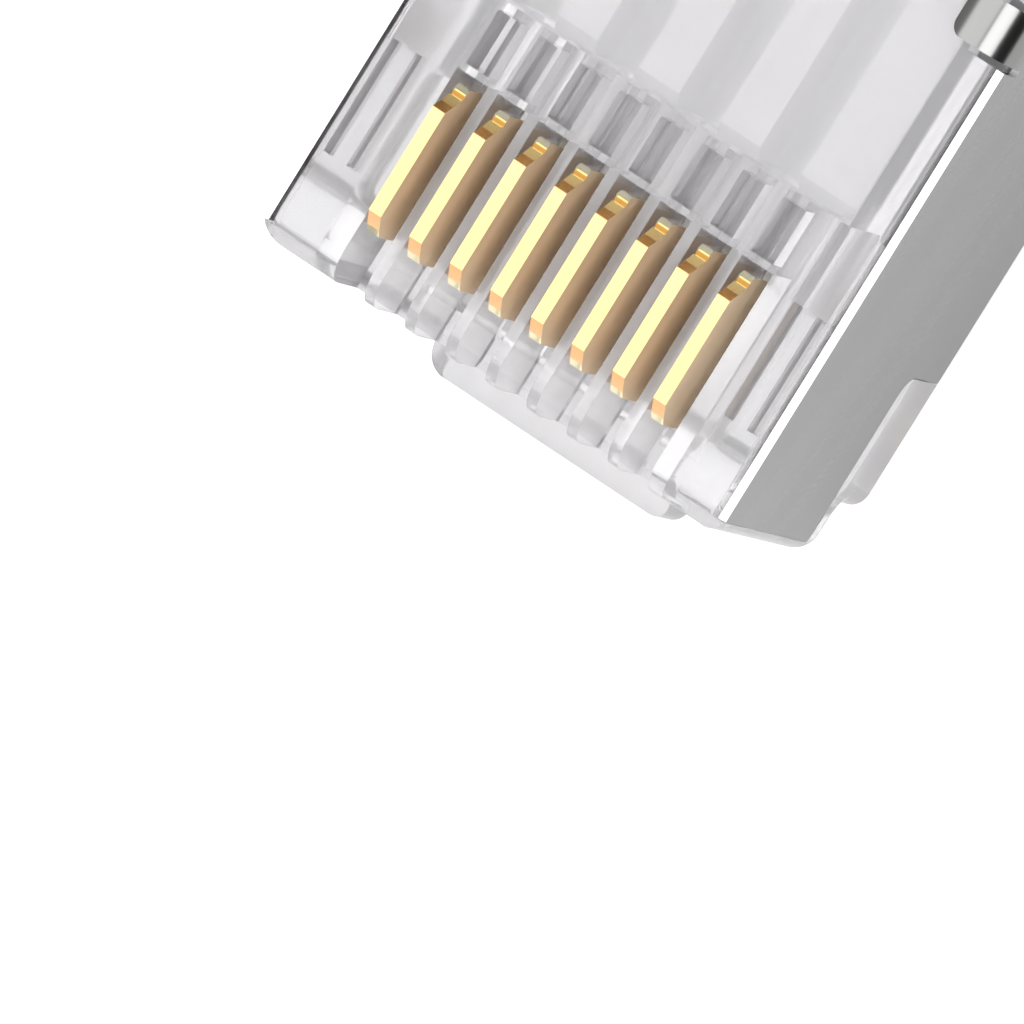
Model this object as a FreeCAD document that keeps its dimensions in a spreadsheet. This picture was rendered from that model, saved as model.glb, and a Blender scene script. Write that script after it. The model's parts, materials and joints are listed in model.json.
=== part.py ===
"""Shielded eight-way modular plug with a staggered wire guide, before crimping.

The plug is drawn in its own frame: X across the contact row, Y from the nose to the
cable end, Z from the latch side to the contact side, with the nose's front face at
Y = 0 and the contact side at Z = 0.  Every piece then gets one common placement that
lays the plug on a table as it comes to rest, contacts up, on its two rails and its latch.
"""
import FreeCAD, Part
import math
import os
import re
import Sketcher

Vector = FreeCAD.Vector

# Driving dimensions in millimetres, and angles in degrees: alias, value, meaning.
SIZES = [
    ("plug_width", 11.68, "width over the shield, which is also the width of the nose"),
    ("plug_height", 8.0, "height of the body behind the nose"),
    ("body_length", 20.6, "nose front to cable end"),
    ("nose_length", 1.25, "length of the lower nose in front of the rails"),
    ("nose_height", 6.35, "height of the nose"),
    ("nose_round", 0.7, "radius of the nose's front edge on the contact side"),
    ("nose_corner", 0.6, "radius of the nose's corners in plan"),
    ("nose_foot", 0.4, "radius of the nose's lower front edge"),
    ("rail_round", 0.5, "outer radius of the rails and of the shield's bends"),
    ("rail_step", 0.3, "radius in the corner between the nose and the rails' front"),
    ("edge_round", 0.2, "radius of the long edges on the contact side"),
    ("root_reach", 0.95, "how far the latch root stands out in front of the nose"),
    ("root_width", 6.02, "width of the latch root and of the latch"),
    ("root_top", 5.0, "depth at which the root's slope leaves the nose"),
    ("root_brow", 5.8, "depth of the root's upper front edge"),
    ("root_round", 0.4, "radius of the root's edges"),
    ("channel_width", 6.8, "width of the channel that the latch folds into"),
    ("channel_roof", 6.2, "depth of that channel's roof"),
    ("channel_end", 15.7, "rear end of that channel"),
    ("contact_count", 8, "number of contacts"),
    ("contact_pitch", 1.02, "spacing of the contacts"),
    ("blade_thickness", 0.3, "thickness of a contact blade"),
    ("blade_front", 1.32, "front edge of a blade"),
    ("blade_rear", 4.8, "rear edge of a blade"),
    ("blade_stand", 0.77, "height of the crown above the contact side before crimping"),
    ("crown_front", 1.74, "front end of the flat crown"),
    ("crown_rear", 4.19, "rear end of the flat crown"),
    ("tip_stand", 0.18, "height of the blade's front corner"),
    ("heel_stand", 0.1, "height of the blade's rear corner"),
    ("heel_length", 0.2, "length of the small nib at that corner"),
    ("tine_height", 0.55, "height of the piercing tines"),
    ("blade_fit", 0.02, "clearance of a blade in its slot, each side"),
    ("fin_thickness", 0.25, "thickness of the fins between the contacts"),
    ("comb_depth", 2.0, "depth of the open grooves between the fins"),
    ("comb_length", 5.04, "rear end of those grooves"),
    ("window_front", 5.2, "front end of the short windows behind the grooves"),
    ("window_rear", 6.47, "rear end of those windows"),
    ("window_width", 0.56, "width of a window"),
    ("window_depth", 0.9, "depth of a window"),
    ("conductor_bore", 1.04, "diameter of a conductor's passage"),
    ("conductor_front", 1.32, "front end of the passages"),
    ("upper_row", 2.75, "depth of the upper row of conductors"),
    ("lower_row", 3.8, "depth of the lower row of conductors"),
    ("pocket_front", 2.15, "front end of the two narrow pockets beside the contacts"),
    ("pocket_rear", 4.82, "rear end of those pockets"),
    ("pocket_rim", 0.19, "width of the rim outside the outer pocket"),
    ("pocket_width", 0.24, "width of a pocket"),
    ("pocket_pitch", 0.58, "spacing of the two pockets"),
    ("pocket_depth", 0.5, "depth of the pockets"),
    ("chamber_front", 6.6, "front wall of the chamber for the wire guide"),
    ("chamber_roof", 1.4, "depth of the chamber's roof"),
    ("chamber_floor", 5.0, "depth of the chamber's floor"),
    ("chamber_wall", 1.13, "thickness of the walls beside the chamber"),
    ("mouth_front", 16.0, "front end of the space for the cable jacket"),
    ("mouth_roof", 0.95, "depth of that space's roof"),
    ("mouth_floor", 7.1, "depth of that space's floor"),
    ("mouth_wall", 0.98, "thickness of the walls beside that space"),
    ("mouth_flare", 0.35, "chamfer round the cable entry"),
    ("guide_fit", 0.05, "clearance of the wire guide in the chamber"),
    ("guide_length", 8.6, "length of the wire guide"),
    ("guide_lead", 0.3, "chamfer on the guide's front and rear edges"),
    ("wedge_front", 12.9, "front end of the strain relief window"),
    ("wedge_rear", 15.5, "rear end of that window"),
    ("wedge_width", 7.2, "width of that window"),
    ("wedge_gap", 0.45, "free gap behind the strain relief bar"),
    ("wedge_web", 0.45, "thickness of the web that carries the bar"),
    ("sheet", 0.18, "thickness of the shield's sheet"),
    ("sheet_fit", 0.03, "clearance between sheet and moulding"),
    ("shield_front", 0.37, "front edge of the shield's sides"),
    ("shield_top", 0.0, "depth of the sides' upper edge"),
    ("notch_rear", 4.32, "rear end of the notch that bares the rails"),
    ("notch_height", 5.6, "depth of the notch's upper edge"),
    ("notch_round", 0.45, "radius in the notch's corner"),
    ("ear_front", 11.07, "front edge of the ears over the contact side"),
    ("ear_length", 1.1, "length of an ear along the plug"),
    ("ear_bend", 1.0, "outer radius of an ear's bend"),
    ("ear_sweep", 113, "angle through which an ear is bent"),
    ("ear_top", 0.3, "height of an ear over the contact side"),
    ("ear_corner", 0.3, "radius of an ear's free corners"),
    ("ear_relief", 0.15, "width of the relief slots beside an ear"),
    ("hinge_y", 0.92, "latch hinge, behind the nose front"),
    ("hinge_depth", 6.75, "latch hinge, below the contact side"),
    ("knuckle_radius", 0.45, "radius of the latch's rounded front end"),
    ("hinge_fit", 0.05, "clearance round that end"),
    ("latch_angle", 17.5, "slope of the relaxed latch"),
    ("latch_shoulder", 7.85, "hinge to locking shoulders, along the latch"),
    ("latch_bend", 11.3, "hinge to the bend of the tail"),
    ("latch_length", 14.3, "hinge to the tail's end"),
    ("latch_thickness", 0.9, "thickness of the latch at its front"),
    ("shoulder_drop", 0.3, "extra thickness at the shoulders"),
    ("tail_thickness", 0.8, "thickness of the tail"),
    ("tail_width", 3.25, "width of the tail"),
    ("tail_lift", 0.55, "how far the tail's end bends back to the body"),
    ("tail_round", 0.3, "radius of the tail's end in plan"),
]

# Lengths that follow from the sizes above.
DERIVED = {
    "half_width": "plug_width / 2",
    "core_half": "half_width - sheet - sheet_fit",
    "rail_floor": "plug_height - sheet - sheet_fit",
    "groove_width": "contact_pitch - fin_thickness",
    "row_half": "contact_pitch * (contact_count - 1) / 2",
    "root_floor": "hinge_depth + knuckle_radius",
    "blade_length": "blade_rear - blade_front",
    "heel_drop": "blade_stand - heel_stand",
    "guide_front": "chamber_front + guide_fit",
    "guide_top": "chamber_roof + guide_fit",
    "guide_bottom": "chamber_floor - guide_fit",
    "guide_half": "chamber_half - guide_fit",
    "chamber_half": "core_half - chamber_wall",
    "mouth_half": "core_half - mouth_wall",
    "ear_rear": "ear_front + ear_length",
    "ear_inner": "ear_bend - sheet",
    "bend_centre_x": "half_width - ear_bend",
    "bend_centre_z": "ear_top - ear_bend",
}

BEYOND = 2.0  # how far a cutting profile runs past the solid
INTO = 0.25  # how far a form runs into the one that it joins or opens
NAMES = re.compile(r"[a-z][a-z_]*")


def formula(text):
    """The text with every size in it written as a reference to the spreadsheet."""
    sizes = {alias for alias, _, _ in SIZES}

    def reference(match):
        name = match.group()
        if name in DERIVED:
            return "(" + formula(DERIVED[name]) + ")"
        return "Sizes." + name if name in sizes else name

    return NAMES.sub(reference, str(text))


def make_sheet(doc):
    sheet = doc.addObject("Spreadsheet::Sheet", "Sizes")
    for row, (alias, value, meaning) in enumerate(SIZES, start=1):
        sheet.set(f"A{row}", alias)
        sheet.set(f"B{row}", str(value))
        sheet.setAlias(f"B{row}", alias)
        sheet.set(f"C{row}", meaning)
    doc.recompute()
    return sheet


def number(thing, text):
    result = thing.evalExpression(formula(text))
    return float(getattr(result, "Value", result))


def bind(thing, prop, text):
    thing.setExpression(prop, formula(text))


def origin_feature(body, role):
    return next(item for item in body.Origin.OriginFeatures if item.Role == role)


def make_body(doc, label):
    body = doc.addObject("PartDesign::Body", label)
    body.Label = label
    return body


def make_sketch(body, name, plane, offset="0"):
    """An empty sketch on one of the body's own origin planes, moved along its normal."""
    sketch = body.newObject("Sketcher::SketchObject", name)
    sketch.AttachmentSupport = [(origin_feature(body, plane), "")]
    sketch.MapMode = "FlatFace"
    bind(sketch, "AttachmentOffset.Base.z", offset)
    return sketch


def pin_point(sketch, edge, end, point):
    """Fix one end point of an edge at a pair of formulas; None leaves that direction free."""
    for kind, text in zip(("DistanceX", "DistanceY"), point):
        if text is None:
            continue
        where = sketch.addConstraint(
            Sketcher.Constraint(kind, -1, 1, edge, end, number(sketch, text)))
        bind(sketch, f"Constraints[{where}]", text)


def draw_outline(sketch, corners):
    """A closed outline of straight edges through corners given as pairs of formulas."""
    points = [Vector(number(sketch, x), number(sketch, y), 0) for x, y in corners]
    first = sketch.GeometryCount
    count = len(points)
    for index, start in enumerate(points):
        sketch.addGeometry(Part.LineSegment(start, points[(index + 1) % count]), False)
    for index, corner in enumerate(corners):
        following = first + (index + 1) % count
        sketch.addConstraint(Sketcher.Constraint("Coincident", first + index, 2, following, 1))
        pin_point(sketch, first + index, 1, corner)


def draw_circle(sketch, centre, radius):
    middle = Vector(number(sketch, centre[0]), number(sketch, centre[1]), 0)
    edge = sketch.addGeometry(
        Part.Circle(middle, Vector(0, 0, 1), number(sketch, radius)), False)
    pin_point(sketch, edge, 3, centre)
    where = sketch.addConstraint(Sketcher.Constraint("Radius", edge, number(sketch, radius)))
    bind(sketch, f"Constraints[{where}]", radius)


def draw_box(sketch, left, right, low, high):
    draw_outline(sketch, [(left, low), (right, low), (right, high), (left, high)])


def extrude(body, kind, name, sketch, length, both_sides=False, reversed_=False):
    """A Pad or a Pocket of the sketch; both_sides centres it on the sketch's plane."""
    feature = body.newObject("PartDesign::" + kind, name)
    feature.Profile = sketch
    feature.SideType = "Symmetric" if both_sides else "One side"
    feature.Reversed = reversed_
    bind(feature, "Length", length)
    sketch.Visibility = False
    body.Document.recompute()
    return feature


def repeat_along_x(body, name, feature, spacing, copies):
    """Repeat a feature along X; spacing is a formula and copies one too."""
    pattern = body.newObject("PartDesign::LinearPattern", name)
    pattern.Originals = [feature]
    pattern.Direction = (origin_feature(body, "X_Axis"), [""])
    bind(pattern, "Length", f"({spacing}) * ({copies} - 1)")
    bind(pattern, "Occurrences", copies)
    body.Tip = pattern
    body.Document.recompute()
    return pattern


def mirror_across(body, name, feature):
    """The feature once more on the other side of the plug's middle plane."""
    mirror = body.newObject("PartDesign::Mirrored", name)
    mirror.Originals = [feature]
    mirror.MirrorPlane = (origin_feature(body, "YZ_Plane"), [""])
    body.Tip = mirror
    body.Document.recompute()
    return mirror


def edges_where(body, test):
    """Names of the tip's edges whose middle point and direction pass the test."""
    names = []
    for index, edge in enumerate(body.Tip.Shape.Edges, start=1):
        if edge.Length < 0.001:
            continue
        first, last = edge.ParameterRange
        halfway = (first + last) / 2
        if test(edge.valueAt(halfway), edge.tangentAt(halfway)):
            names.append(f"Edge{index}")
    return names


def dress(body, kind, name, test, size):
    """A Fillet or Chamfer on the edges that pass the test."""
    base = body.Tip
    names = edges_where(body, test)
    if not names:
        raise RuntimeError(f"{body.Label}: no edge for {name}")
    feature = body.newObject("PartDesign::" + kind, name)
    feature.Base = (base, names)
    bind(feature, "Radius" if kind == "Fillet" else "Size", size)
    body.Document.recompute()
    return feature


def near(a, b, within=0.01):
    return abs(a - b) < within


def along(direction, axis):
    return abs(getattr(direction, axis)) > 0.999


def size(body, text):
    return number(body, text)


# ---------------------------------------------------------------- housing

def housing_block(body):
    """The moulding's outer form: nose, rails and body, full width."""
    side = make_sketch(body, "BlockSide", "YZ_Plane")
    draw_outline(side, [
        ("0", "0"), ("body_length", "0"), ("body_length", "-plug_height"),
        ("nose_length", "-plug_height"), ("nose_length", "-nose_height"), ("0", "-nose_height")])
    extrude(body, "Pad", "Block", side, "plug_width", both_sides=True)
    rail, foot = size(body, "plug_height"), size(body, "nose_height")
    front = size(body, "nose_length")
    dress(body, "Fillet", "NoseCorners",
          lambda p, d: along(d, "z") and near(p.y, 0), "nose_corner")
    dress(body, "Fillet", "RailEdges",
          lambda p, d: near(p.z, -rail) and along(d, "y"), "rail_round")
    dress(body, "Fillet", "RailSteps",
          lambda p, d: near(p.z, -foot) and near(p.y, front) and along(d, "x"), "rail_step")
    dress(body, "Fillet", "NoseFoot",
          lambda p, d: near(p.z, -foot) and near(p.y, 0) and along(d, "x"), "nose_foot")
    brow = make_sketch(body, "BrowSide", "YZ_Plane")
    draw_brow(brow, "nose_round")
    extrude(body, "Pocket", "NoseBrow", brow, f"plug_width + {BEYOND}", both_sides=True)


def draw_brow(sketch, radius):
    """All that lies outside a round of this radius on the upper front edge."""
    corners = [("0", f"-{radius}"), (str(-BEYOND), f"-{radius}"), (str(-BEYOND), str(BEYOND)),
               (radius, str(BEYOND)), (radius, "0")]
    points = [Vector(number(sketch, y), number(sketch, z), 0) for y, z in corners]
    for start, end in zip(points, points[1:]):
        sketch.addGeometry(Part.LineSegment(start, end), False)
    reach = number(sketch, radius)
    circle = Part.Circle(Vector(reach, -reach, 0), Vector(0, 0, 1), reach)
    sketch.addGeometry(Part.ArcOfCircle(circle, math.pi / 2, math.pi), False)
    for join in ((0, 2, 1, 1), (1, 2, 2, 1), (2, 2, 3, 1), (3, 2, 4, 1), (4, 2, 0, 1)):
        sketch.addConstraint(Sketcher.Constraint("Coincident", *join))
    for edge, corner in enumerate(corners[:4]):
        pin_point(sketch, edge, 1, corner)
    pin_point(sketch, 3, 2, corners[4])
    pin_point(sketch, 4, 3, (radius, None))


def housing_root(body):
    """The lump on the nose that carries the latch, with a round seat behind it."""
    side = make_sketch(body, "RootSide", "YZ_Plane")
    draw_outline(side, [
        (str(INTO), "-root_top"), ("0", "-root_top"), ("-root_reach", "-root_brow"),
        ("-root_reach", "-root_floor"), ("hinge_y", "-root_floor"),
        ("hinge_y", f"-nose_height + {INTO}"), ("nose_foot", f"-nose_height + {INTO}"),
        ("nose_foot", "-root_top")])
    extrude(body, "Pad", "Root", side, "root_width", both_sides=True)
    reach = size(body, "root_reach")
    dress(body, "Fillet", "RootFront",
          lambda p, d: near(p.y, -reach) and not along(d, "x"), "root_round")
    floor = size(body, "root_floor")
    dress(body, "Fillet", "RootFloor",
          lambda p, d: near(p.z, -floor) and near(p.y, -reach) and along(d, "x"), "root_round")
    seat = make_sketch(body, "SeatSide", "YZ_Plane")
    draw_circle(seat, ("hinge_y", "-hinge_depth"), "knuckle_radius + hinge_fit")
    extrude(body, "Pocket", "Seat", seat, "channel_width", both_sides=True)


def housing_rebates(body):
    """Seats for the shield's sides, floor and ears, and the channel for the latch."""
    side = make_sketch(body, "RebateSide", "YZ_Plane", "half_width - sheet - sheet_fit")
    past = f"body_length + {BEYOND}"
    low = f"-plug_height - {BEYOND}"
    draw_outline(side, [
        ("shield_front - sheet_fit", str(BEYOND)), (past, str(BEYOND)), (past, low),
        ("notch_rear - sheet_fit", low), ("notch_rear - sheet_fit", "-notch_height - sheet_fit"),
        ("shield_front - sheet_fit", "-notch_height - sheet_fit")])
    cut = extrude(body, "Pocket", "SideRebate", side, "sheet + sheet_fit", reversed_=True)
    mirror_across(body, "SideRebates", cut)
    under = make_sketch(body, "FloorSide", "YZ_Plane")
    draw_box(under, "notch_rear - sheet_fit", past, low, "-rail_floor")
    extrude(body, "Pocket", "FloorRebate", under, f"plug_width + {BEYOND}", both_sides=True)
    channel = make_sketch(body, "ChannelSide", "YZ_Plane")
    draw_box(channel, "hinge_y", "channel_end", low, "-channel_roof")
    extrude(body, "Pocket", "LatchChannel", channel, "channel_width", both_sides=True)
    side, floor = size(body, "core_half"), size(body, "rail_floor")
    step, ledge = size(body, "notch_rear - sheet_fit"), size(body, "notch_height + sheet_fit")
    dress(body, "Fillet", "LedgeCorners",
          lambda p, d: along(d, "x") and near(p.y, step) and near(p.z, -ledge), "notch_round")
    dress(body, "Fillet", "LongEdges",
          lambda p, d: along(d, "y") and near(abs(p.x), side) and near(p.z, 0), "edge_round")
    dress(body, "Fillet", "BendSeats",
          lambda p, d: along(d, "y") and near(abs(p.x), side) and near(p.z, -floor),
          "rail_round - sheet")
    ears = make_sketch(body, "EarSeatSection", "XZ_Plane", "-ear_front + ear_relief")
    inner = "ear_inner - sheet_fit"
    draw_outline(ears, [
        ("bend_centre_x", f"bend_centre_z + {inner}"), ("bend_centre_x", str(BEYOND)),
        (f"half_width + {BEYOND}", str(BEYOND)), (f"half_width + {BEYOND}", "bend_centre_z"),
        (f"bend_centre_x + {inner}", "bend_centre_z")])
    cut = extrude(body, "Pocket", "EarSeat", ears, "ear_length + 2 * ear_relief")
    mirror_across(body, "EarSeats", cut)


def housing_hollows(body):
    """The wire guide's chamber, the cable jacket's space and the entry's flare."""
    chamber = make_sketch(body, "ChamberSide", "YZ_Plane")
    draw_box(chamber, "chamber_front", f"mouth_front + {INTO}",
             "-chamber_floor", "-chamber_roof")
    extrude(body, "Pocket", "Chamber", chamber, "2 * chamber_half", both_sides=True)
    mouth = make_sketch(body, "MouthSide", "YZ_Plane")
    draw_box(mouth, "mouth_front", f"body_length + {BEYOND}", "-mouth_floor", "-mouth_roof")
    extrude(body, "Pocket", "Mouth", mouth, "2 * mouth_half", both_sides=True)
    end = size(body, "body_length")
    half = size(body, "mouth_half") + 0.01
    floor = size(body, "mouth_floor") + 0.01
    dress(body, "Chamfer", "MouthFlare",
          lambda p, d: near(p.y, end) and abs(p.x) < half
          and -floor < p.z < -size(body, "mouth_roof") + 0.01, "mouth_flare")


def housing_comb(body):
    """Open grooves between the fins, slots for the blades and the conductor passages."""
    groove = make_sketch(body, "GrooveSide", "YZ_Plane", "-row_half")
    draw_box(groove, str(-BEYOND), "comb_length", "-comb_depth", str(BEYOND))
    cut = extrude(body, "Pocket", "Groove", groove, "groove_width", both_sides=True)
    repeat_along_x(body, "Grooves", cut, "contact_pitch", "contact_count")
    window = make_sketch(body, "WindowPlan", "XY_Plane", "-window_depth")
    draw_box(window, "-row_half - window_width / 2", "-row_half + window_width / 2",
             "window_front", "window_rear")
    cut = extrude(body, "Pocket", "Window", window, f"window_depth + {BEYOND}", reversed_=True)
    repeat_along_x(body, "Windows", cut, "contact_pitch", "contact_count")
    for row, start in (("upper", "-row_half"), ("lower", "-row_half + contact_pitch")):
        slot = make_sketch(body, row.title() + "SlotSide", "YZ_Plane", start)
        draw_box(slot, "blade_front - blade_fit", "blade_rear + blade_fit",
                 f"-{row}_row", f"-comb_depth + {INTO}")
        cut = extrude(body, "Pocket", row.title() + "Slot", slot,
                      "blade_thickness + 2 * blade_fit", both_sides=True)
        repeat_along_x(body, row.title() + "Slots", cut, "2 * contact_pitch", "contact_count / 2")
        bore = make_sketch(body, row.title() + "BoreEnd", "XZ_Plane",
                           f"-chamber_front - {INTO}")
        draw_circle(bore, (start, f"-{row}_row"), "conductor_bore / 2")
        cut = extrude(body, "Pocket", row.title() + "Bore", bore,
                      f"chamber_front + {INTO} - conductor_front", reversed_=True)
        repeat_along_x(body, row.title() + "Bores", cut, "2 * contact_pitch", "contact_count / 2")


def housing_pockets(body):
    """Two narrow pockets on each shoulder beside the contact row."""
    pocket = make_sketch(body, "PocketPlan", "XY_Plane", "-pocket_depth")
    outer = "core_half - pocket_rim"
    for edge in (outer, f"{outer} - pocket_pitch"):
        draw_box(pocket, f"{edge} - pocket_width", edge, "pocket_front", "pocket_rear")
    cut = extrude(body, "Pocket", "SidePocket", pocket, f"pocket_depth + {BEYOND}", reversed_=True)
    mirror_across(body, "SidePockets", cut)


def housing_strain_relief(body):
    """The window over the cable with its bar, which the crimp tool pushes in."""
    window = make_sketch(body, "ReliefSide", "YZ_Plane")
    draw_outline(window, [
        ("wedge_front", f"-wedge_web - {INTO}"), ("wedge_front", str(BEYOND)),
        ("wedge_rear", str(BEYOND)), ("wedge_rear", f"-chamber_roof - {INTO}"),
        ("wedge_rear - wedge_gap", f"-chamber_roof - {INTO}"),
        ("wedge_rear - wedge_gap", f"-{INTO}")])
    extrude(body, "Pocket", "ReliefWindow", window, "wedge_width", both_sides=True)


def make_housing(doc):
    body = make_body(doc, "housing")
    housing_block(body)
    housing_root(body)
    housing_rebates(body)
    housing_hollows(body)
    housing_comb(body)
    housing_pockets(body)
    housing_strain_relief(body)
    return body


# ---------------------------------------------------------------- shield

def make_shield(doc):
    """A folded sheet round the latch side and both flanks, with ears over the top."""
    body = make_body(doc, "shield")
    section = make_sketch(body, "ChannelSection", "XZ_Plane", "-shield_front")
    draw_outline(section, [
        ("-half_width", "-shield_top"), ("-half_width", "-plug_height"),
        ("half_width", "-plug_height"), ("half_width", "-shield_top"),
        ("half_width - sheet", "-shield_top"), ("half_width - sheet", "-plug_height + sheet"),
        ("-half_width + sheet", "-plug_height + sheet"), ("-half_width + sheet", "-shield_top")])
    extrude(body, "Pad", "Channel", section, "body_length - shield_front", reversed_=True)
    floor = size(body, "plug_height")
    inner = size(body, "plug_height - sheet")
    dress(body, "Fillet", "OuterBends",
          lambda p, d: along(d, "y") and near(p.z, -floor), "rail_round")
    dress(body, "Fillet", "InnerBends",
          lambda p, d: along(d, "y") and near(p.z, -inner), "rail_round - sheet")
    notch = make_sketch(body, "NotchSide", "YZ_Plane")
    low = f"-plug_height - {BEYOND}"
    draw_box(notch, str(-BEYOND), "notch_rear", low, "-notch_height")
    extrude(body, "Pocket", "Notch", notch, f"plug_width + {BEYOND}", both_sides=True)
    rear, top = size(body, "notch_rear"), size(body, "notch_height")
    dress(body, "Fillet", "NotchCorners",
          lambda p, d: along(d, "x") and near(p.y, rear) and near(p.z, -top), "notch_round")
    window = make_sketch(body, "LatchWindowPlan", "XY_Plane", low)
    draw_box(window, "-channel_width / 2", "channel_width / 2", "0", "channel_end")
    extrude(body, "Pocket", "LatchWindow", window, f"{BEYOND} + 2 * sheet", reversed_=True)
    shield_ears(body)
    return body


def shield_ears(body):
    """Two short ears that fold over the contact side, between relief slots."""
    relief = make_sketch(body, "ReliefSide", "YZ_Plane")
    draw_box(relief, "ear_front - ear_relief", "ear_rear + ear_relief",
             "bend_centre_z - ear_relief", str(BEYOND))
    extrude(body, "Pocket", "Relief", relief, f"plug_width + {BEYOND}", both_sides=True)
    section = make_sketch(body, "EarSection", "XZ_Plane", "-ear_front")
    draw_bent_strip(section)
    ear = extrude(body, "Pad", "Ear", section, "ear_length", reversed_=True)
    mirror_across(body, "Ears", ear)
    ends = [size(body, text) for text in ("ear_front", "ear_rear")]
    tip = size(body, "bend_centre_x + (ear_bend - sheet / 2) * cos(ear_sweep)")
    dress(body, "Fillet", "EarCorners",
          lambda p, d: near(abs(p.x), tip, 0.02) and any(near(p.y, end) for end in ends),
          "ear_corner")


def draw_bent_strip(sketch):
    """Section of an ear: up the side, then round the bend and down towards its tip."""
    side, foot = "half_width", "bend_centre_z - 2 * ear_relief"
    tips = [("bend_centre_x + " + radius + " * cos(ear_sweep)",
             "bend_centre_z + " + radius + " * sin(ear_sweep)")
            for radius in ("ear_bend", "ear_inner")]
    corners = [(side, foot), (side, "bend_centre_z"), *tips,
               (f"{side} - sheet", "bend_centre_z"), (f"{side} - sheet", foot)]
    points = [Vector(number(sketch, x), number(sketch, y), 0) for x, y in corners]
    centre = Vector(number(sketch, "bend_centre_x"), number(sketch, "bend_centre_z"), 0)
    for start, end in ((0, 1), (2, 3), (4, 5), (5, 0)):
        sketch.addGeometry(Part.LineSegment(points[start], points[end]), False)
    for radius in ("ear_bend", "ear_inner"):
        circle = Part.Circle(centre, Vector(0, 0, 1), number(sketch, radius))
        sweep = math.radians(number(sketch, "ear_sweep"))
        sketch.addGeometry(Part.ArcOfCircle(circle, 0, sweep), False)
    for join in ((0, 2, 4, 1), (4, 2, 1, 1), (1, 2, 5, 2), (5, 1, 2, 1), (2, 2, 3, 1),
                 (3, 2, 0, 1), (4, 3, 5, 3)):
        sketch.addConstraint(Sketcher.Constraint("Coincident", *join))
    pin_point(sketch, 4, 3, ("bend_centre_x", "bend_centre_z"))
    pin_point(sketch, 0, 1, corners[0])
    pin_point(sketch, 0, 2, corners[1])
    pin_point(sketch, 1, 1, (corners[2][0], None))
    pin_point(sketch, 1, 2, (corners[3][0], None))
    pin_point(sketch, 2, 1, corners[4])
    pin_point(sketch, 2, 2, corners[5])


# ---------------------------------------------------------------- contacts

def make_contact(doc, index):
    """One gold plated blade: faceted crown above, piercing tines below."""
    body = make_body(doc, f"contact_{index + 1}")
    row = "upper" if index % 2 == 0 else "lower"
    base = f"(-{row}_row + conductor_bore / 2)"
    side = make_sketch(body, f"BladeSide{index + 1}", "YZ_Plane",
                       f"-row_half + {index} * contact_pitch")
    draw_outline(side, [
        ("crown_front", "blade_stand"), ("crown_rear", "blade_stand"),
        ("crown_rear + 0.28 * (blade_rear - crown_rear)", "blade_stand - 0.4 * heel_drop"),
        ("blade_rear - heel_length", "blade_stand - 0.86 * heel_drop"),
        ("blade_rear - 0.6 * heel_length", "blade_stand - 0.78 * heel_drop"),
        ("blade_rear", "heel_stand"), ("blade_rear", base),
        ("blade_rear - 0.25 * blade_length", f"{base} + tine_height"),
        ("blade_rear - 0.5 * blade_length", base),
        ("blade_rear - 0.75 * blade_length", f"{base} + tine_height"),
        ("blade_front", base), ("blade_front", "tip_stand"),
        ("crown_front - 0.69 * (crown_front - blade_front)",
         "blade_stand - 0.65 * (blade_stand - tip_stand)")])
    extrude(body, "Pad", f"Blade{index + 1}", side, "blade_thickness", both_sides=True)
    return body


# ---------------------------------------------------------------- wire guide

def make_load_bar(doc):
    """The insert that leads the conductors in two staggered rows of four."""
    body = make_body(doc, "load_bar")
    section = make_sketch(body, "GuideSide", "YZ_Plane")
    draw_box(section, "guide_front", "guide_front + guide_length", "-guide_bottom", "-guide_top")
    extrude(body, "Pad", "Guide", section, "2 * guide_half", both_sides=True)
    front, rear = size(body, "guide_front"), size(body, "guide_front + guide_length")
    dress(body, "Chamfer", "GuideLead",
          lambda p, d: near(p.y, front) or near(p.y, rear), "guide_lead")
    for row, start in (("upper", "-row_half"), ("lower", "-row_half + contact_pitch")):
        bore = make_sketch(body, row.title() + "PassageEnd", "XZ_Plane", "-chamber_front")
        draw_circle(bore, (start, f"-{row}_row"), "conductor_bore / 2")
        cut = extrude(body, "Pocket", row.title() + "Passage", bore,
                      f"guide_length + {BEYOND}")
        repeat_along_x(body, row.title() + "Passages", cut, "2 * contact_pitch",
                       "contact_count / 2")
    groove = make_sketch(body, "GuideGrooveSide", "YZ_Plane", "-row_half")
    draw_box(groove, f"chamber_front - {INTO}", f"guide_front + guide_length + {BEYOND}",
             "-upper_row", str(BEYOND))
    cut = extrude(body, "Pocket", "GuideGroove", groove, "conductor_bore", both_sides=True)
    repeat_along_x(body, "GuideGrooves", cut, "2 * contact_pitch", "contact_count / 2")
    return body


# ---------------------------------------------------------------- latch

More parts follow.
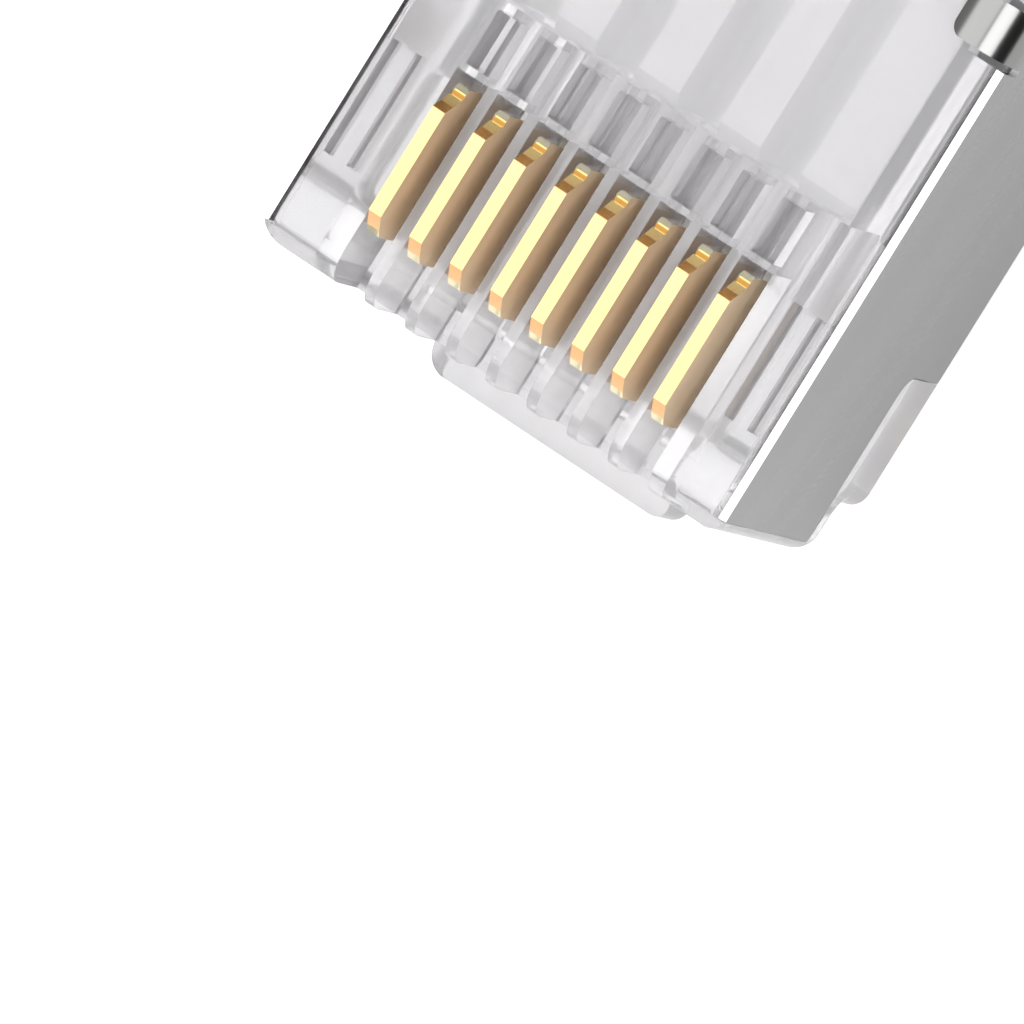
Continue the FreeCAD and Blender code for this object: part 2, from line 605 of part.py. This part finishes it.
def make_latch(doc):
    """The sprung latch: round front end, widening arm, shoulders and a narrow tail."""
    body = make_body(doc, "latch")
    side = make_sketch(body, "LatchSide", "YZ_Plane")
    tilt_sketch(side)
    half = "latch_thickness / 2"
    draw_outline(side, [
        ("0", half), ("latch_shoulder", half), ("latch_bend", half),
        ("latch_length", f"{half} + tail_lift"),
        ("latch_length", f"{half} + tail_lift - tail_thickness"),
        ("latch_bend", f"{half} - tail_thickness"),
        ("latch_shoulder", f"{half} - tail_thickness"),
        ("latch_shoulder", f"-{half} - shoulder_drop"),
        ("0", f"-{half}")])
    extrude(body, "Pad", "Arm", side, "root_width", both_sides=True)
    knuckle = make_sketch(body, "KnuckleSide", "YZ_Plane")
    draw_circle(knuckle, ("hinge_y", "-hinge_depth"), "knuckle_radius")
    extrude(body, "Pad", "Knuckle", knuckle, "root_width", both_sides=True)
    flank = make_sketch(body, "TailFlankSide", "YZ_Plane", "tail_width / 2")
    tilt_sketch(flank)
    draw_box(flank, "latch_shoulder", f"latch_length + {BEYOND}", str(-BEYOND), str(2 * BEYOND))
    cut = extrude(body, "Pocket", "TailFlank", flank, "root_width", reversed_=True)
    mirror_across(body, "TailFlanks", cut)
    slope = math.radians(size(body, "latch_angle"))
    half, end = size(body, "tail_width / 2"), size(body, "latch_length")
    hinge = Vector(0, size(body, "hinge_y"), -size(body, "hinge_depth"))
    arm = Vector(0, math.cos(slope), -math.sin(slope))
    dress(body, "Fillet", "TailCorners",
          lambda p, d: near(abs(p.x), half) and near((p - hinge).dot(arm), end), "tail_round")
    return body


def tilt_sketch(sketch):
    """Turn a side sketch so that its first axis runs along the relaxed latch."""
    sketch.AttachmentOffset = FreeCAD.Placement(
        Vector(0, 0, 0), FreeCAD.Rotation(Vector(0, 0, 1), 0))
    bind(sketch, "AttachmentOffset.Base.x", "hinge_y")
    bind(sketch, "AttachmentOffset.Base.y", "-hinge_depth")
    bind(sketch, "AttachmentOffset.Rotation.Angle", "-latch_angle")


# ---------------------------------------------------------------- assembly

def lowest(points, tilt):
    return min(p.y * math.sin(tilt) + p.z * math.cos(tilt) for p in points)


def rest_placement(housing, latch, bodies):
    """Tilt about X at which rails and latch touch the table together, origin under the middle."""
    rails, spring = (part.Shape.tessellate(0.02)[0] for part in (housing, latch))
    low, high = 0.0, math.radians(45)
    for _ in range(40):
        tilt = (low + high) / 2
        if lowest(rails, tilt) > lowest(spring, tilt):
            low = tilt
        else:
            high = tilt
    turn = FreeCAD.Rotation(Vector(1, 0, 0), math.degrees(tilt))
    box = FreeCAD.BoundBox()
    for part in bodies:
        for point in part.Shape.tessellate(0.02)[0]:
            box.add(turn.multVec(point))
    return FreeCAD.Placement(Vector(0, -box.Center.y, -box.ZMin), turn)


def check(doc, bodies):
    for item in doc.Objects:
        if "Invalid" in item.State or "Error" in item.State:
            raise RuntimeError(f"{item.Name} failed: {item.State}")
    for body in bodies:
        if body.Shape.isNull() or not body.Shape.isValid():
            raise RuntimeError(f"{body.Label} has no valid shape")
        if len(body.Shape.Solids) != 1:
            raise RuntimeError(f"{body.Label} has {len(body.Shape.Solids)} solids")


def main():
    doc = FreeCAD.newDocument("modular_plug")
    sheet = make_sheet(doc)
    housing = make_housing(doc)
    shield = make_shield(doc)
    latch = make_latch(doc)
    contacts = [make_contact(doc, index) for index in range(int(sheet.get("contact_count")))]
    bodies = [housing, shield, latch, make_load_bar(doc)] + contacts
    doc.recompute()
    placement = rest_placement(housing, latch, bodies)
    for body in bodies:
        body.Placement = placement
    doc.recompute()
    check(doc, bodies)
    os.makedirs("parts", exist_ok=True)
    for body in bodies:
        body.Shape.exportStep(f"parts/{body.Label}.step")


main()
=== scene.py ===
"""Looks of the modular plug: materials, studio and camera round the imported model."""
import bpy
import json
import math
from mathutils import Matrix, Vector

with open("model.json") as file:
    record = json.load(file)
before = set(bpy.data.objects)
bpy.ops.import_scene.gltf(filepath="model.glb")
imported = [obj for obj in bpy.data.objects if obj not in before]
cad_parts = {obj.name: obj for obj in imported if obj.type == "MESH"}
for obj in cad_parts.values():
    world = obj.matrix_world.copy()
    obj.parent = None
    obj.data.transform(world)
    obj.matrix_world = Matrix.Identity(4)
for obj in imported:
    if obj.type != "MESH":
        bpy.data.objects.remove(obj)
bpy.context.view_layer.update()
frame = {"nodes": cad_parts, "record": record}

MM = 0.001
MOUNTS = {mount["name"]: mount for mount in frame["record"]["mounts"]}

# The plug's own axes in the row frame: across the contacts, towards the cable,
# and out of the contact side. Places are taken from the crown of the contacts.
PLUG_X = Vector((1, 0, 0))
PLUG_Y = -Vector(MOUNTS["jack_end"]["axis"]).normalized()
PLUG_Z = PLUG_X.cross(PLUG_Y)
CROWN = Vector(MOUNTS["contact_row"]["pos_m"])


def plug_vector(x, y, z):
    """A direction given along the plug's own axes."""
    return PLUG_X * x + PLUG_Y * y + PLUG_Z * z


# ---------------------------------------------------------------- shader nodes

CLOUD_LOW, CLOUD_HIGH = 0.3, 0.7        # the span that a noise mostly keeps to


def new_material(name):
    material = bpy.data.materials.new(name)
    material.use_nodes = True
    tree = material.node_tree
    shader = next(node for node in tree.nodes if node.type == "BSDF_PRINCIPLED")
    return material, tree, shader


def noise(tree, scale, detail, stretch=None):
    """Noise on the object's own coordinates, optionally stretched."""
    source = tree.nodes.new("ShaderNodeTexCoord").outputs["Object"]
    if stretch:
        mapping = tree.nodes.new("ShaderNodeMapping")
        mapping.inputs["Scale"].default_value = stretch
        tree.links.new(source, mapping.inputs["Vector"])
        source = mapping.outputs["Vector"]
    texture = tree.nodes.new("ShaderNodeTexNoise")
    texture.inputs["Scale"].default_value = scale
    texture.inputs["Detail"].default_value = detail
    tree.links.new(source, texture.inputs["Vector"])
    return texture.outputs["Fac"]


def ramp(tree, source, low, high, low_at=CLOUD_LOW, high_at=CLOUD_HIGH):
    """A number that runs from low to high while the source runs between two marks."""
    node = tree.nodes.new("ShaderNodeMapRange")
    node.inputs["From Min"].default_value = low_at
    node.inputs["From Max"].default_value = high_at
    node.inputs["To Min"].default_value = low
    node.inputs["To Max"].default_value = high
    tree.links.new(source, node.inputs["Value"])
    return node.outputs["Result"]


def colour_ramp(tree, source, colours):
    """A colour between two, by a noise."""
    node = tree.nodes.new("ShaderNodeValToRGB")
    stops = node.color_ramp.elements
    for stop, place, colour in zip(stops, (CLOUD_LOW, CLOUD_HIGH), colours):
        stop.position = place
        stop.color = (*colour, 1)
    tree.links.new(source, node.inputs["Fac"])
    return node.outputs["Color"]


def calculate(tree, operation, *values):
    """A Math node whose inputs are outputs of other nodes or plain numbers."""
    node = tree.nodes.new("ShaderNodeMath")
    node.operation = operation
    for socket, value in zip(node.inputs, values):
        if isinstance(value, float):
            socket.default_value = value
        else:
            tree.links.new(value, socket)
    return node.outputs["Value"]


def dot(tree, vector, direction):
    node = tree.nodes.new("ShaderNodeVectorMath")
    node.operation = "DOT_PRODUCT"
    node.inputs[1].default_value = direction
    tree.links.new(vector, node.inputs[0])
    return node.outputs["Value"]


def place_along(tree, direction):
    """How far a surface point lies from the contacts' crown along a direction, in metres."""
    coords = tree.nodes.new("ShaderNodeTexCoord")
    shift = tree.nodes.new("ShaderNodeVectorMath")
    shift.operation = "SUBTRACT"
    shift.inputs[1].default_value = CROWN
    tree.links.new(coords.outputs["Object"], shift.inputs[0])
    return dot(tree, shift.outputs["Vector"], direction)


def facing(tree, direction):
    """Cosine between the true surface normal and a direction."""
    geometry = tree.nodes.new("ShaderNodeNewGeometry")
    return dot(tree, geometry.outputs["True Normal"], direction)


def faces_sideways(tree, cosine):
    """One on the faces that look to the plug's right or left, zero elsewhere."""
    turned = calculate(tree, "ABSOLUTE", facing(tree, PLUG_X))
    return calculate(tree, "GREATER_THAN", turned, cosine)


def within(tree, value, middle, reach):
    """One where a value lies no further from the middle than the reach, zero elsewhere."""
    away = calculate(tree, "ABSOLUTE", calculate(tree, "SUBTRACT", value, middle))
    return calculate(tree, "LESS_THAN", away, reach)


def both(tree, first, second):
    return calculate(tree, "MULTIPLY", first, second)


def either(tree, first, second):
    return calculate(tree, "MAXIMUM", first, second)


def mix_colour(tree, factor, first, second):
    """Blend of two colours, each an output or a plain triple."""
    node = tree.nodes.new("ShaderNodeMix")
    node.data_type = "RGBA"
    tree.links.new(factor, node.inputs["Factor"])
    for socket, value in zip((node.inputs[6], node.inputs[7]), (first, second)):
        if isinstance(value, tuple):
            socket.default_value = (*value, 1)
        else:
            tree.links.new(value, socket)
    return node.outputs[2]


# ---------------------------------------------------------------- plastics

# A plastic's two tints, the share of light that goes through it, and its roughness.
MILKY = (((0.965, 0.955, 0.97), (0.99, 0.98, 0.995)), 0.77, 0.07)
GUIDE = (((0.95, 0.945, 0.95), (0.98, 0.975, 0.98)), 0.42, 0.12)
PLASTIC_IOR = 1.49
PLASTIC_CLOUDS = 260.0          # scale of the noise in the moulding
ROUGHNESS_SPREAD = 0.3          # share by which the roughness goes up and down


def moulded_plastic(name, tints, transmission, roughness):
    """Milky clear polycarbonate with faint clouds in tint and polish."""
    material, tree, shader = new_material(name)
    shader.inputs["IOR"].default_value = PLASTIC_IOR
    shader.inputs["Transmission Weight"].default_value = transmission
    cloud = noise(tree, PLASTIC_CLOUDS, 0.0)
    tree.links.new(colour_ramp(tree, cloud, tints), shader.inputs["Base Color"])
    spread = ramp(tree, cloud, roughness * (1 - ROUGHNESS_SPREAD),
                  roughness * (1 + ROUGHNESS_SPREAD))
    tree.links.new(spread, shader.inputs["Roughness"])
    return material


# ---------------------------------------------------------------- nickel

NICKEL_GRAIN = 900.0, 4.0, (1.0, 0.05, 1.0)         # scale, detail and stretch of the noise
NICKEL_BENDS = (0.27, 0.27, 0.265), (0.30, 0.30, 0.295)
NICKEL_FLATS = (0.275, 0.275, 0.275), (0.31, 0.31, 0.31)
# Pale nickel: a painted highlight on the free edge's top faces and painted light on the inner
# faces.
NICKEL_PAINTED_LIGHT = (0.88, 0.88, 0.875)
NICKEL_ROUGHNESS = 0.17, 0.22
SATIN = 0.07                                        # added roughness of the flats
FLAT_COSINE, RIM_COSINE = 0.97, 0.85
RIM_Z, RIM_REACH = -0.77 * MM, 0.06 * MM            # free edge of the shield
LINING_Z, LINING_REACH = -5.2 * MM, 3.45 * MM       # inner faces, from the floor to the rim
LINING_HALF = 5.75 * MM


def plated_sheet(name):
    """Nickel plating: satin flats, polished bends, a painted highlight on the free edge and
    painted light on the inner lining.
    """
    material, tree, shader = new_material(name)
    shader.inputs["Metallic"].default_value = 1.0
    grain = noise(tree, *NICKEL_GRAIN)
    flat = faces_sideways(tree, FLAT_COSINE)
    plating = mix_colour(tree, flat, colour_ramp(tree, grain, NICKEL_BENDS),
                         colour_ramp(tree, grain, NICKEL_FLATS))
    height = place_along(tree, PLUG_Z)
    # The free edge's upward faces get the pale nickel, a painted highlight.
    upwards = calculate(tree, "GREATER_THAN", facing(tree, PLUG_Z), RIM_COSINE)
    sheared = both(tree, within(tree, height, RIM_Z, RIM_REACH), upwards)
    # The inner faces get the same pale nickel, painted light on the lining.
    lining = both(tree, within(tree, height, LINING_Z, LINING_REACH),
                  within(tree, place_along(tree, PLUG_X), 0.0, LINING_HALF))
    colour = mix_colour(tree, either(tree, sheared, lining), plating, NICKEL_PAINTED_LIGHT)
    tree.links.new(colour, shader.inputs["Base Color"])
    roughness = calculate(tree, "ADD", ramp(tree, grain, *NICKEL_ROUGHNESS),
                          calculate(tree, "MULTIPLY", flat, SATIN))
    tree.links.new(roughness, shader.inputs["Roughness"])
    return material


# ---------------------------------------------------------------- gold

# Colours along a blade: gold with painted light in bands. The pale stretches are painted
# highlights, the orange and dark brown stretches are painted reflections of dark surroundings, and
# the thin darkest one is painted shade in a crease. Start and end of each stretch, in millimetres
# from the blade's nose, and the colours there.
GOLD_AND_PAINTED_BANDS = ((0.00, 0.13, (1.0, 0.92, 0.60), (1.0, 0.92, 0.60)),
               (0.13, 0.42, (0.94, 0.56, 0.28), (0.90, 0.50, 0.22)),
               (0.42, 1.10, (1.0, 0.70, 0.28), (1.0, 0.67, 0.26)),
               (1.10, 2.87, (1.0, 0.67, 0.26), (1.0, 0.68, 0.28)),
               (2.87, 3.04, (0.66, 0.34, 0.11), (0.54, 0.27, 0.08)),
               (3.04, 3.23, (1.0, 0.68, 0.28), (1.0, 0.76, 0.32)),
               (3.23, 3.28, (0.40, 0.22, 0.07), (0.40, 0.22, 0.07)),
               (3.28, 3.48, (1.0, 0.92, 0.66), (1.0, 0.92, 0.66)))
TINT_EDGE = 0.004                       # half of the blend between two stretches
BLADE_FRONT, BLADE_LENGTH = -1.645, 3.48
FLANK_TINTS = (0.95, 0.72, 0.47), (1.0, 0.78, 0.52)
FLANK_GRAIN = 1200.0, 3.0, (1.0, 0.2, 1.0)          # scale, detail and stretch of the noise
FLANK_COSINE = 0.9
FLANK_METALLIC, FLANK_ROUGHNESS = 0.3, 0.2          # the roughness is added
GOLD_CLOUDS = 700.0, 3.0
GOLD_ROUGHNESS = 0.10, 0.18


def gold_with_painted_bands(tree):
    """Gold at its place along a blade, with painted highlights and painted dark reflections in
    bands.
    """
    node = tree.nodes.new("ShaderNodeValToRGB")
    stops = node.color_ramp.elements
    places = [(place, colour) for start, end, first, last in GOLD_AND_PAINTED_BANDS
              for place, colour in ((start + TINT_EDGE, first), (end - TINT_EDGE, last))]
    while len(stops) < len(places):
        stops.new(1.0)
    for stop, (place, colour) in zip(stops, places):
        stop.position = place / BLADE_LENGTH
        stop.color = (*colour, 1)
    along = calculate(tree, "SUBTRACT", place_along(tree, PLUG_Y), BLADE_FRONT * MM)
    share = calculate(tree, "DIVIDE", along, BLADE_LENGTH * MM)
    tree.links.new(share, node.inputs["Fac"])
    return node.outputs["Color"]


def gold_plating(name):
    """Polished gold on the crown with painted highlights and painted dark reflections in bands
    along the blade, duller on the sheared flanks.
    """
    material, tree, shader = new_material(name)
    flank = colour_ramp(tree, noise(tree, *FLANK_GRAIN), FLANK_TINTS)
    side = faces_sideways(tree, FLANK_COSINE)
    # The blade's colour carries painted highlights and painted dark reflections in bands.
    colour = mix_colour(tree, side, gold_with_painted_bands(tree), flank)
    tree.links.new(colour, shader.inputs["Base Color"])
    tree.links.new(ramp(tree, side, 1.0, FLANK_METALLIC, 0.0, 1.0), shader.inputs["Metallic"])
    polish = ramp(tree, noise(tree, *GOLD_CLOUDS), *GOLD_ROUGHNESS)
    roughness = calculate(tree, "ADD", polish,
                          calculate(tree, "MULTIPLY", side, FLANK_ROUGHNESS))
    tree.links.new(roughness, shader.inputs["Roughness"])
    return material


# ---------------------------------------------------------------- pieces

CONTACT_EDGE, SHIELD_EDGE = 0.02 * MM, 0.03 * MM
EDGE_SEGMENTS, EDGE_ANGLE = 2, math.radians(20)


def dress(prefix, material, edge=None):
    """Gives the nodes of a name their material and, with an edge width, rounded edges."""
    for name, node in frame["nodes"].items():
        if not name.startswith(prefix):
            continue
        node.data.materials.clear()
        node.data.materials.append(material)
        if edge:
            bevel = node.modifiers.new("edge_rounding", "BEVEL")
            bevel.width, bevel.segments = edge, EDGE_SEGMENTS
            bevel.limit_method, bevel.angle_limit = "ANGLE", EDGE_ANGLE


def dress_pieces():
    milky = moulded_plastic("milky_polycarbonate", *MILKY)
    dress("housing", milky)
    dress("latch", milky)
    dress("load_bar", moulded_plastic("guide_polycarbonate", *GUIDE))
    dress("shield", plated_sheet("nickel_plated_sheet"), SHIELD_EDGE)
    dress("contact_", gold_plating("gold_plated_contact"), CONTACT_EDGE)


# ---------------------------------------------------------------- studio

FLOOR_HALF = 80 * MM
FLOOR_GREY, FLOOR_ROUGHNESS = 0.8, 0.9
FLOOR_GLOW = (("Is Camera Ray", 0.6), ("Is Glossy Ray", 0.2), ("Is Transmission Ray", 0.45))
WALL_LIGHT, FLAG_LIGHT = 0.42, 0.03
FLAG_FROM, FLAG_TO = 0.72, 0.80         # cosines to the right between which the wall darkens

# Softboxes: direction from the contacts along the plug's axes, distance, width and
# height in metres, radiance.
LAMPS = {"overhead": ((-0.13, -0.10, 0.987), 0.30, 0.30, 0.48, 1.6),
         "right": ((0.656, -0.10, 0.755), 0.35, 0.22, 0.28, 3.2)}


def make_floor():
    """A white floor that keeps the object's shadow and shows as white in metal and plastic."""
    half = FLOOR_HALF
    mesh = bpy.data.meshes.new("floor")
    mesh.from_pydata([(-half, -half, 0), (half, -half, 0), (half, half, 0), (-half, half, 0)],
                     [], [(0, 1, 2, 3)])
    floor = bpy.data.objects.new("floor", mesh)
    bpy.context.scene.collection.objects.link(floor)
    material, tree, shader = new_material("floor_white")
    shader.inputs["Base Color"].default_value = (FLOOR_GREY, FLOOR_GREY, FLOOR_GREY, 1)
    shader.inputs["Roughness"].default_value = FLOOR_ROUGHNESS
    shader.inputs["Specular IOR Level"].default_value = 0.0
    shader.inputs["Emission Color"].default_value = (1, 1, 1, 1)
    light = tree.nodes.new("ShaderNodeLightPath")
    camera, glossy, through = [calculate(tree, "MULTIPLY", light.outputs[ray], glow)
                               for ray, glow in FLOOR_GLOW]
    glow = either(tree, either(tree, camera, glossy), through)
    tree.links.new(glow, shader.inputs["Emission Strength"])
    mesh.materials.append(material)


def make_world():
    """White behind the object; as a light, an even dim studio with a black flag on the right."""
    world = bpy.data.worlds.new("studio")
    world.use_nodes = True
    tree = world.node_tree
    background = tree.nodes["Background"]
    background.inputs["Color"].default_value = (1, 1, 1, 1)
    coords = tree.nodes.new("ShaderNodeTexCoord")
    rightwards = dot(tree, coords.outputs["Generated"], PLUG_X)
    walls = ramp(tree, rightwards, WALL_LIGHT, FLAG_LIGHT, FLAG_FROM, FLAG_TO)
    light = tree.nodes.new("ShaderNodeLightPath")
    seen = either(tree, light.outputs["Is Camera Ray"], light.outputs["Is Transmission Ray"])
    tree.links.new(either(tree, walls, seen), background.inputs["Strength"])
    world.cycles.sampling_method = "NONE"       # the walls are smooth, so nothing has to be sought
    bpy.context.scene.world = world


def make_lamp(name, direction, distance, width, height, radiance):
    """A softbox that looks at the contact row."""
    data = bpy.data.lights.new(name, "AREA")
    data.shape = "RECTANGLE"
    data.size, data.size_y = width, height
    data.energy = radiance * math.pi * width * height
    lamp = bpy.data.objects.new(name, data)
    back = plug_vector(*direction).normalized()
    across = PLUG_Y.cross(back).normalized()
    turn = Matrix((across, back.cross(across), back)).transposed()
    lamp.location = CROWN + back * distance
    lamp.rotation_mode = "QUATERNION"
    lamp.rotation_quaternion = turn.to_quaternion()
    bpy.context.scene.collection.objects.link(lamp)


# ---------------------------------------------------------------- camera

CAMERA_RIGHT = plug_vector(0.796, 0.524, -0.302).normalized()
CAMERA_BACK = plug_vector(0.293, 0.103, 0.950).normalized()
CAMERA_DISTANCE = 0.45
SENSOR_WIDTH = 36.0
FRAME_WIDTH = 20.455 * MM                       # width of the view at the contacts
AIM_RIGHT, AIM_UP = -0.737 * MM, -5.130 * MM    # the view's centre from the contact row
CLIP_NEAR, CLIP_FAR = 0.01, 10.0


def make_camera():
    back = CAMERA_BACK
    right = (CAMERA_RIGHT - back * CAMERA_RIGHT.dot(back)).normalized()
    up = back.cross(right)
    data = bpy.data.cameras.new("camera")
    data.sensor_width = SENSOR_WIDTH
    data.lens = SENSOR_WIDTH * CAMERA_DISTANCE / FRAME_WIDTH
    data.clip_start, data.clip_end = CLIP_NEAR, CLIP_FAR
    camera = bpy.data.objects.new("camera", data)
    place = Matrix((right, up, back)).transposed().to_4x4()
    place.translation = CROWN + right * AIM_RIGHT + up * AIM_UP + back * CAMERA_DISTANCE
    camera.matrix_world = place
    bpy.context.scene.collection.objects.link(camera)
    bpy.context.scene.camera = camera


dress_pieces()
make_floor()
make_world()
for lamp_name, lamp in LAMPS.items():
    make_lamp(lamp_name, *lamp)
make_camera()
bpy.context.scene.view_settings.view_transform = "Standard"
